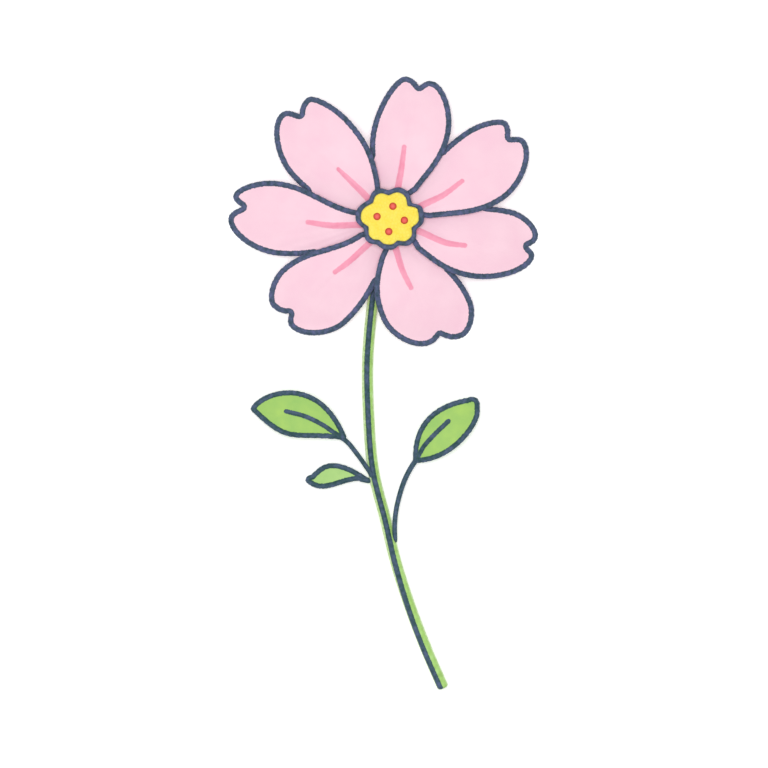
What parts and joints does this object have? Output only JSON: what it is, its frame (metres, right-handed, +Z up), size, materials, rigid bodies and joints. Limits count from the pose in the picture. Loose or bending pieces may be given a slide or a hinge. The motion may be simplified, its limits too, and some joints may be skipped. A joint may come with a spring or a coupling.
{
  "type": "cosmos flower",
  "caption": "Cut garden flower lying face up: notched petals round a lobed disc, thin curved stem with stalked leaves.",
  "frame": {"origin": "middle of the flower's box, on the surface that it lies on", "axes": "+Y along the flower from the cut end of the stem to the head, +Z up through the head's face"},
  "size_m": [0.0776, 0.1536, 0.014],
  "materials": {
    "petal": "matte",
    "disc": "matte",
    "leaf": "matte",
    "stem": "matte"
  },
  "bodies": {
    "root": {"stem": "stem", "calyx": "leaf", "disc": "disc", "petal_top": "petal", "petal_upper_right": "petal", "petal_right": "petal", "petal_lower_right": "petal", "petal_lower_left": "petal", "petal_left": "petal", "petal_upper_left": "petal", "leaf_upper_left": "leaf", "leaf_lower_left": "leaf", "leaf_right": "leaf"}
  },
  "joints": []
}
